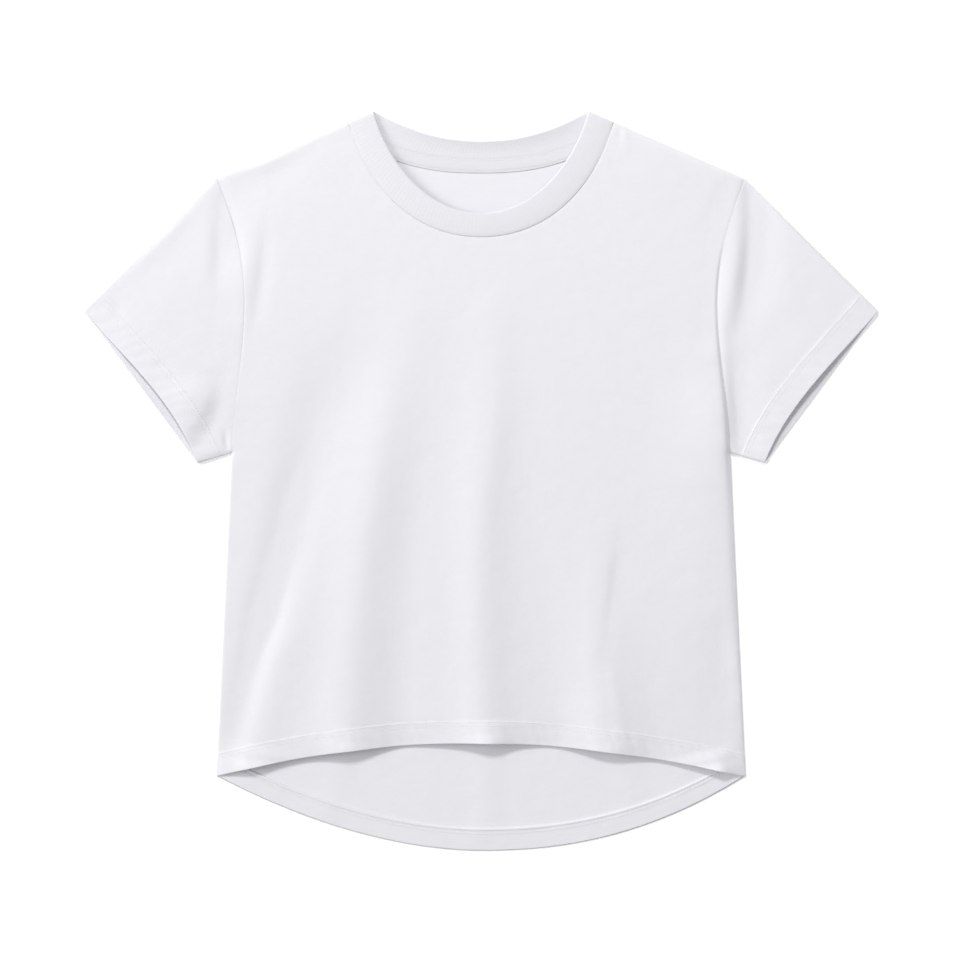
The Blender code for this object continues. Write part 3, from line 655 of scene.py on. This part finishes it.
def sleeve(name, side):
    def place(turn, row):
        front_side = turn <= 1
        share = np.where(front_side, 1 - turn, turn - 1)
        on_front = sleeve_point(share, row[:, 0], row[:, 1], FRONT_SCOOP, CUFF_DIPS[side])
        on_back = sleeve_point(share, row[:, 0], row[:, 1], BACK_SCOOP, 0.0)
        x, y, distance = (np.where(front_side, a, b) for a, b in zip(on_front, on_back))
        x = side * x
        at_edge = (share == 0) | (share == 1)
        band = hem_relief(distance, share * EDGE_RUN, CUFF_HEM_DEPTH, CUFF_PULL[side])
        high = front_z(x, y) + seam_relief(x, y, FRONT_ARMHOLE, None, False) + band
        in_cuff = 1 - smooth((distance - CUFF_HEM_DEPTH) / 0.004)
        high = rests_on(high, (LOWEST + JERSEY * in_cuff) * smooth(np.sin(math.pi * share) / 0.5))
        groove = sum(bell(distance - s - 0.0015, GROOVE) for s in STITCH_ROWS)
        # The back of the cuff at -X curls up a little past the front.
        curl = CUFF_CURL * np.clip(1 - distance / CUFF_CURL_DEPTH, 0, 1) ** 2 * (side < 0)
        curl = curl * np.sin(math.pi * share)
        low = back_z(x, y) + 0.0004 * groove + curl
        z = np.where(at_edge, TURN, np.where(front_side, high, low))
        weights = hem_layers(distance, share * EDGE_RUN, CUFF_HEM_DEPTH)
        flat = np.stack([distance, turn * TURN_RUN], 1)
        return np.stack([x, y, z], 1), flat, weights

    return wall(cloth(name, sleeve_steps(), sleeve_rows(), place, True, wrap=True), JERSEY)


left_sleeve = sleeve("left_sleeve", 1)
right_sleeve = sleeve("right_sleeve", -1)

# %% [markdown]
# ## Neckband
# The band is rib knit folded in two, sewn to the neck along its raw edges, with the fold at its free
# edge. Ribs are ridges of knit with valleys between them, one every 3.8 mm here. They are narrow but
# they show, so they are real waves in the mesh, eight points to a rib. The grid is wrapped both
# ways: round the neck, and round the band's own thickness.

# %% Neckband
RIB_PITCH = 0.0038
RIB_RAISE = 0.00008  # worn flat by pressing
SEAM_STEP = 0.0005  # how far the seam pulls the band's edge down to the body
BAND_TURN = (0.0030, 0.0038)
BAND_CROWN = 0.0004
BACK_LEAN = 0.0030
LEAN_REACH = 0.020
POINTS_PER_RIB = 8


def evenly(curve, count):
    """Points along a curve, evenly spaced by length, both ends included."""
    x, y = curve(np.linspace(0, 1, 401))
    run = np.concatenate([[0], np.cumsum(np.hypot(np.diff(x), np.diff(y)))])
    want = np.linspace(0, run[-1], count + 1)
    return np.interp(want, run, x), np.interp(want, run, y)


def curve_length(curve):
    x, y = curve(np.linspace(0, 1, 401))
    return float(np.hypot(np.diff(x), np.diff(y)).sum())


def band_height(x, y, across, up):
    radius = between(*BAND_TURN, across)
    nearest = np.minimum.reduce(edge_distances(x, y))
    turned = turn_height(nearest, radius)
    if up:
        tucked = SEAM_STEP * np.exp(-across / 0.05)
        return radius + turned + soft_height(x, y) + BAND_CROWN * np.sin(math.pi * across) - tucked
    return radius - turned + BACK_LEAN * across**2 * (1 - np.exp(-nearest / LEAN_REACH))


band_across = np.array([0, 0.015, 0.05, 0.12, 0.25, 0.4, 0.55, 0.7, 0.82, 0.90, 0.945, 0.975, 0.992, 1.0])
halves = []
for seam, free, up in ((front_seam, front_free, True), (back_seam, back_free, False)):
    ribs = round((curve_length(seam) + curve_length(free)) / 2 / RIB_PITCH)
    count = ribs * POINTS_PER_RIB
    seam_line = evenly(lambda t, seam=seam: seam(t, OVERLAP), count)
    free_line = evenly(free, count)
    if not up:
        seam_line, free_line = [a[::-1] for a in seam_line], [a[::-1] for a in free_line]
    share = band_across[:, None]
    x, y = between(seam_line[0], free_line[0], share), between(seam_line[1], free_line[1], share)
    halves.append(np.stack([x, y, band_height(x, y, share, up)], 2)[:, :-1])
band_outer = np.concatenate(halves, 1)
ring = band_outer.shape[1]
round_it = np.roll(band_outer, -1, 1) - np.roll(band_outer, 1, 1)
across_it = np.gradient(band_outer, band_across, axis=0)
normal = np.cross(round_it, across_it)
normal /= np.linalg.norm(normal, axis=2, keepdims=True)
print("ribs:", ring // POINTS_PER_RIB, "first normal", normal[6, ring // 4].round(2))

# %% Ribs raised round the band's thickness
FOLD_SHARE = 0.055  # of the band, over which its folded edge rounds off
rounding = np.clip((band_across - 1 + FOLD_SHARE) / FOLD_SHARE, 0, 1)
half_wall = (RIB_KNIT / 2 * np.sqrt(1 - rounding**2))[:, None, None]
phase = 2 * math.pi * np.arange(ring) / POINTS_PER_RIB
ridge = ((0.5 - 0.5 * np.cos(phase)) ** 0.8)[None, :, None]
fade = (smooth(band_across / 0.05) * (1 - rounding**4))[:, None, None]
middle = band_outer - normal * RIB_KNIT / 2
faces_up = (normal[:, :, 2:] > 0).astype(float)
outer = middle + normal * (half_wall + RIB_RAISE * fade * (ridge - (1 - faces_up)))
inner = middle - normal * (half_wall + RIB_RAISE * fade * (ridge - faces_up))
loop_points = np.concatenate([outer, inner[-2::-1], outer[:1]], 0)
loop_points = np.concatenate([loop_points, loop_points[:, :1]], 1)


def place_band(column, row):
    c, r = column.astype(int), row.astype(int)
    flat = np.stack([c * RIB_PITCH / POINTS_PER_RIB, r * 0.0018], 1)
    return loop_points[r, c], flat, np.ones(len(c))


band = cloth("neckband_ribbed", np.arange(ring + 1), np.arange(len(loop_points)), place_band, wrap=True)
bm = bmesh.new()
bm.from_mesh(band.data)
bmesh.ops.recalc_face_normals(bm, faces=bm.faces)
bm.to_mesh(band.data)
bm.free()
print("neckband", len(band.data.polygons), "faces")

# %% [markdown]
# ## Neck tape
# A narrow strip of jersey covers the back neck seam, so that it does not scratch. It is stitched
# along both edges, which pulls them down and leaves the strip a little round between them.

# %% Neck tape
TAPE_HALF = 0.1180
TAPE_TOP = 0.0001  # below the seam, right against the band
TAPE_WIDTH = 0.0148
TAPE_STITCH = 0.0021  # in from each edge
TAPE_FOOT = 0.0009  # how far its lower edge stands off the back


def tape_plan(share, drop):
    x = TAPE_HALF * (2 * share - 1)
    _, y = back_seam((x / SEAM_HALF + 1) / 2)
    return x, y - drop


def place_tape(share, drop):
    x, y = tape_plan(share, drop)
    from_top, from_foot = drop - TAPE_TOP, TAPE_TOP + TAPE_WIDTH - drop
    from_edge = np.minimum(from_top, from_foot)
    dent = np.where(from_top < from_foot, 0.00012, 0.00030)
    dent = dent * bell(from_edge - TAPE_STITCH, 0.0006)
    # Its top edge lies on the band's seam allowance, and its foot stands a little off the back.
    over_seam = (RIB_KNIT - JERSEY) * (1 - smooth(from_top / 0.009))
    foot = np.minimum(turn_height(from_foot, TAPE_FOOT), TAPE_FOOT) + 0.0004 * smooth(from_foot / 0.004)
    z = JERSEY + np.maximum(over_seam, foot) - dent + 0.00006 * pucker(from_edge, x, 2.0)
    return np.stack([x, y, z], 1), np.stack([x, y], 1), np.full(len(x), 0.5)


tape_shares = [1, 0.985, 0.96, 0.93, 0.88, 0.84, 0.8, 0.7, 0.5]
tape_shares += [0.3, 0.2, 0.16, 0.12, 0.07, 0.04, 0.015, 0]
tape_drops = TAPE_TOP + TAPE_WIDTH * np.array(tape_shares)
tape = wall(cloth("back_neck_tape", np.linspace(0, 1, 181), tape_drops, place_tape), 0.0005)
tape_area = one_layer_area(tape)
print("tape", len(tape.data.polygons), "faces")

# %% [markdown]
# ## Stitches
# Hems on T-shirts are cover stitched: two rows of short straight stitches outside, and inside a
# thread that crosses from row to row over the raw edge. Each stitch is a small stretched sphere that
# sinks halfway into its groove. A texture could draw them, but real ones catch the light.

# %% Making stitches
THREAD = 0.00034  # its radius. Real thread is half that, and would vanish in the picture
THREAD_PROUD = 0.00006  # how far its middle lies over the cloth
BATCH = 12  # stitches made at a time, as the operator slows down on a full mesh


def some_stitches(spans):
    """A mesh of a few stitches."""
    bm = bmesh.new()
    for start, end in spans:
        a, b = Vector(start), Vector(end)
        turn = (b - a).to_track_quat("Z", "X").to_matrix().to_4x4()
        size = Matrix.Diagonal((THREAD, THREAD, (b - a).length / 2, 1.0))
        matrix = Matrix.Translation((a + b) / 2) @ turn @ size
        bmesh.ops.create_uvsphere(bm, u_segments=6, v_segments=5, radius=1.0, matrix=matrix)
    mesh = bpy.data.meshes.new("stitches")
    bm.to_mesh(mesh)
    bm.free()
    return mesh


def thread_piece(name, spans):
    """One mesh of stitches. Each span is a start and an end in space."""
    bm = bmesh.new()
    for first in range(0, len(spans), BATCH):
        batch = some_stitches(spans[first : first + BATCH])
        bm.from_mesh(batch)
        bpy.data.meshes.remove(batch)
    return object_from(bm, name)


def row_spans(x, y, z, pitch=0.0030, length=0.0024):
    """Straight stitches of one length along a line of points."""
    run = np.concatenate([[0], np.cumsum(np.hypot(np.diff(x), np.diff(y)))])
    starts = np.arange(0.001, run[-1] - pitch, pitch)
    spots = [np.interp(starts + part, run, values) for part in (0, length) for values in (x, y, z)]
    ends = np.stack(spots, 1)
    return [(row[:3], row[3:]) for row in ends]


def hem_line(hem, distance, reach=0.2630):
    x = np.linspace(-reach, reach, 400)
    return x, hem_y(x, hem) + distance


# %% Hem stitches of the front and the back
spans = []
for distance in STITCH_ROWS:
    x, y = hem_line(FRONT_HEM, distance, 0.2620)
    spans += row_spans(x, y, front_surface(x, y) + THREAD_PROUD)
front_thread = thread_piece("front_hem_stitches", spans)

inside = 2 * JERSEY
spans = []
for distance in STITCH_ROWS:
    x, y = hem_line(BACK_HEM, distance, 0.2580)
    spans += row_spans(x, y, back_surface(x, y) + 0.00012)
    spans += row_spans(x, y, back_z(x, y) + inside + 0.0001)
low_x, low_y = hem_line(BACK_HEM, STITCH_ROWS[0] - 0.0003, 0.2580)
high_x, high_y = hem_line(BACK_HEM, STITCH_ROWS[1] - 0.0016, 0.2580)
for i in range(0, len(low_x) - 3, 2):
    for (x0, y0), (x1, y1) in (
        ((low_x[i], low_y[i]), (high_x[i + 1], high_y[i + 1])),
        ((high_x[i + 1], high_y[i + 1]), (low_x[i + 2], low_y[i + 2])),
    ):
        z0, z1 = (float(back_z(np.array(a), np.array(b))) + inside - 0.0002 for a, b in ((x0, y0), (x1, y1)))
        spans.append(((x0, y0, z0), (x1, y1, z1)))
back_thread = thread_piece("back_hem_stitches", spans)
print("hem stitches:", len(spans), "on the back")


# %% Cuff and tape stitches
def cuff_spans(side):
    spans = []
    for row in STITCH_ROWS:
        away = row + CUFF_HEM_DEPTH - HEM_DEPTH
        share = np.linspace(0.016, 0.984, 200)
        for scoop, dip, up in ((FRONT_SCOOP, CUFF_DIPS[side], True), (BACK_SCOOP, 0.0, False)):
            one = np.ones(200)
            x, y, distance = sleeve_point(share, one, (CUFF_HEM_DEPTH - away) * one, scoop, dip)
            x = side * x
            if up:
                band = hem_relief(distance, share * EDGE_RUN, CUFF_HEM_DEPTH, CUFF_PULL[side])
                z = front_z(x, y) + band + THREAD_PROUD * CUFF_PULL[side]
            else:
                z = back_z(x, y) + 0.0004 + 0.00012
            spans += row_spans(x, y, z)
            if not up:
                spans += row_spans(x, y, back_z(x, y) + 2 * JERSEY + 0.0001)
    return spans


left_thread = thread_piece("left_cuff_stitches", cuff_spans(1))
right_thread = thread_piece("right_cuff_stitches", cuff_spans(-1))

spans = []
for drop in (TAPE_TOP + TAPE_STITCH, TAPE_TOP + TAPE_WIDTH - TAPE_STITCH):
    share = np.linspace(0.005, 0.995, 300)
    points, _, _ = place_tape(share, np.full(300, drop))
    spans += row_spans(points[:, 0], points[:, 1], points[:, 2] + 0.00006, 0.0028, 0.0023)
tape_thread = thread_piece("tape_stitches", spans)
print("tape stitches:", len(spans))

# %% [markdown]
# ## Materials
# White cotton jersey is a fine knit of bleached yarn: matt, with loops too small to see from here,
# and faint slubs, which are thicker lengths of yarn that lie across the shirt. Short fibres stand up
# from it and catch light at a grazing angle, which is what the sheen is for. Patterns are set by
# millimetres on the flat cut, from the UV map.


# %% Helpers for materials
def linear(hex_colour):
    """An sRGB hex colour as the linear values that shaders take."""
    parts = [int(hex_colour[i : i + 2], 16) / 255 for i in (1, 3, 5)]
    return tuple(((c + 0.055) / 1.055) ** 2.4 if c > 0.04045 else c / 12.92 for c in parts) + (1.0,)


def add_node(tree, kind, settings=None, links=None):
    """Adds a node with its settings, and links from other nodes' outputs to its inputs."""
    node = tree.nodes.new(kind)
    for name, value in (settings or {}).items():
        if isinstance(name, str) and name.startswith("."):
            setattr(node, name[1:], value)
        else:
            node.inputs[name].default_value = value
    for name, output in (links or {}).items():
        tree.links.new(output, node.inputs[name])
    return node


def knit_material(name, colour, wale_mm, course_mm, loop_height, slub, sheen):
    """A knit: loops in wales and courses, slubs across them and a soft uneven tone."""
    material = bpy.data.materials.new(name)
    material.use_nodes = True
    tree = material.node_tree
    shader = tree.nodes["Principled BSDF"]
    shader.inputs["Roughness"].default_value = 0.88
    shader.inputs["Specular IOR Level"].default_value = 0.25
    shader.inputs["Sheen Weight"].default_value = sheen
    shader.inputs["Sheen Roughness"].default_value = 0.45
    shader.inputs["Subsurface Weight"].default_value = 0.2
    shader.inputs["Subsurface Radius"].default_value = (1.0, 1.0, 1.0)
    shader.inputs["Subsurface Scale"].default_value = 0.0015
    cut = add_node(tree, "ShaderNodeUVMap", {".uv_map": "cut"}).outputs["UV"]
    mm = add_node(tree, "ShaderNodeMapping", {"Scale": (1000, 1000, 1000)}, {"Vector": cut}).outputs[0]
    turns = (2 * math.pi / wale_mm / 20, 2 * math.pi / course_mm / 20)

    def wave(axis, scale, distortion, detail_scale):
        settings = {".bands_direction": axis, "Scale": scale, "Distortion": distortion}
        settings.update({"Detail": 1.0, "Detail Scale": detail_scale})
        return add_node(tree, "ShaderNodeTexWave", settings, {"Vector": mm}).outputs["Fac"]

    def noise(vector, settings):
        return add_node(tree, "ShaderNodeTexNoise", settings, {"Vector": vector}).outputs["Fac"]

    def bump(distance, height, under):
        links = {"Height": height, **under}
        node = add_node(tree, "ShaderNodeBump", {"Strength": 1.0, "Distance": distance}, links)
        return {"Normal": node.outputs[0]}

    yarns = {0: wave("X", turns[0], 0.6, 0.4), 1: wave("Y", turns[1], 0.8, 0.5)}
    loops = add_node(tree, "ShaderNodeMath", {".operation": "MULTIPLY"}, yarns).outputs[0]
    across = add_node(tree, "ShaderNodeMapping", {"Scale": (0.055, 0.75, 1)}, {"Vector": mm}).outputs[0]
    slubs = noise(across, {"Scale": 1.0, "Detail": 4.0, "Roughness": 0.62})
    cloud = noise(mm, {"Scale": 0.045, "Detail": 3.0})
    fuzz = noise(mm, {"Scale": 1.6, "Detail": 5.0, "Roughness": 0.7})
    surface = bump(loop_height, loops, {})
    for distance, height in ((loop_height * 1.5, fuzz), (slub, slubs), (slub * 6, cloud)):
        surface = bump(distance, height, surface)
    tree.links.new(surface["Normal"], shader.inputs["Normal"])
    half = {".operation": "MULTIPLY_ADD", 1: 0.5, 2: 0.25}
    tones = add_node(tree, "ShaderNodeMath", half, {0: slubs})
    colour_mix = add_node(tree, "ShaderNodeMix", {".data_type": "RGBA"}, {"Factor": tones.outputs[0]})
    base = np.array(linear(colour))
    colour_mix.inputs["A"].default_value = tuple(base * (0.965, 0.965, 0.97, 1))
    colour_mix.inputs["B"].default_value = tuple(np.minimum(base * (1.035, 1.035, 1.03, 1), 1))
    tree.links.new(colour_mix.outputs["Result"], shader.inputs["Base Color"])
    return material


# %% The materials
# Bleached cotton is a hair bluer than neutral, from its brightener.
JERSEY_WHITE = "#E9E8ED"
jersey = knit_material("white cotton jersey", JERSEY_WHITE, 0.9, 0.7, 0.00006, 0.00010, 0.25)
# Rib is a thicker yarn. Its ridges are in the mesh, so the pattern only adds loops.
rib = knit_material("white cotton rib knit", "#E6E5EA", 0.95, 1.3, 0.00010, 0.00004, 0.25)
tape_cloth = knit_material("white cotton jersey tape", "#E5E4E9", 0.8, 0.8, 0.00005, 0.00004, 0.2)
# Spun polyester thread is smoother than the knit, so it shines slightly.
thread = bpy.data.materials.new("white spun polyester thread")
thread.use_nodes = True
shader = thread.node_tree.nodes["Principled BSDF"]
shader.inputs["Base Color"].default_value = linear("#F0F1F3")
shader.inputs["Roughness"].default_value = 0.55
where = add_node(thread.node_tree, "ShaderNodeTexCoord").outputs["Object"]
fibres = {"Scale": 3000.0, "Detail": 2.0}
twist = add_node(thread.node_tree, "ShaderNodeTexNoise", fibres, {"Vector": where}).outputs["Fac"]
relief = {"Strength": 0.5, "Distance": 0.0001}
strands = add_node(thread.node_tree, "ShaderNodeBump", relief, {"Height": twist})
thread.node_tree.links.new(strands.outputs[0], shader.inputs["Normal"])
for piece, material in (
    (front, jersey), (back, jersey), (left_sleeve, jersey), (right_sleeve, jersey),
    (band, rib), (tape, tape_cloth), (front_thread, thread), (back_thread, thread),
    (left_thread, thread), (right_thread, thread), (tape_thread, thread),
):
    piece.data.materials.append(material)
print("materials:", [m.name for m in bpy.data.materials])

# %% [markdown]
# ## What each piece stands for
# The solids stay in the physics model and the cloth takes their place in the picture.

# %% Ride and replace
for piece, node, slot_name in (
    (front, "body_front", "jersey"), (back, "body_back", "jersey"),
    (left_sleeve, "sleeve_left", "jersey"), (right_sleeve, "sleeve_right", "jersey"),
    (band, "neckband", "rib"), (tape, "neck_tape", "tape"),
):
    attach(piece, "root")
    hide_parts(node)
for piece in (front_thread, back_thread, left_thread, right_thread, tape_thread):
    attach(piece, "root")

# %% [markdown]
# ## Floor, light and camera
# The shirt lies on a white light table and is seen from straight above. A soft lamp at the top throws
# the shadow under the front hem and leaves the back hem a little darker, since it is further off. A
# weaker and lower light from the left shades the folds, and an even white surround fills in.

# %% Floor, light and camera
bm = bmesh.new()
bmesh.ops.create_grid(bm, x_segments=1, y_segments=1, size=4.0)
floor = object_from(bm, "floor")
# An opal acrylic light table: matt white, and lit a little from below, so it stays white in shadow.
table = bpy.data.materials.new("opal acrylic light table")
table.use_nodes = True
opal = table.node_tree.nodes["Principled BSDF"]
opal.inputs["Base Color"].default_value = linear("#F8F8F8")
opal.inputs["Roughness"].default_value = 0.9
opal.inputs["Emission Color"].default_value = (1, 1, 1, 1)
opal.inputs["Emission Strength"].default_value = 0.28
floor.data.materials.append(table)

world = bpy.data.worlds.new("white surround")
world.use_nodes = True
world.node_tree.nodes["Background"].inputs["Color"].default_value = (1, 1, 1, 1)
world.node_tree.nodes["Background"].inputs["Strength"].default_value = 0.45
bpy.context.scene.world = world

window = bpy.data.lights.new("soft lamp at the top", "AREA")
window.shape = "DISK"
window.size = 0.74
window.energy = 71
low_light = bpy.data.lights.new("low light from the left", "SUN")
low_light.angle = math.radians(30)
low_light.energy = 1.25
for light, place in ((window, (-0.81, 2.36, 2.84)), (low_light, (-1.60, 0.25, 1.00))):
    lamp = bpy.data.objects.new(light.name, light)
    lamp.location = place
    lamp.rotation_euler = Vector(place).to_track_quat("Z", "Y").to_euler()
    bpy.context.scene.collection.objects.link(lamp)

PICTURE_WIDTH = 0.960  # metres across at the height of the cloth, so 1 mm to a pixel
CLOTH_HEIGHT = 0.005
camera_data = bpy.data.cameras.new("camera")
camera_data.lens = 100
camera_data.sensor_width = 36
camera = bpy.data.objects.new("camera", camera_data)
camera.location = (-0.001, 0.001, PICTURE_WIDTH * 100 / 36 + CLOTH_HEIGHT)
camera.rotation_euler = Euler((0, 0, 0))
bpy.context.scene.collection.objects.link(camera)
bpy.context.scene.camera = camera
bpy.context.scene.view_settings.view_transform = "Standard"

# %% Update the scene
bpy.context.view_layer.update()
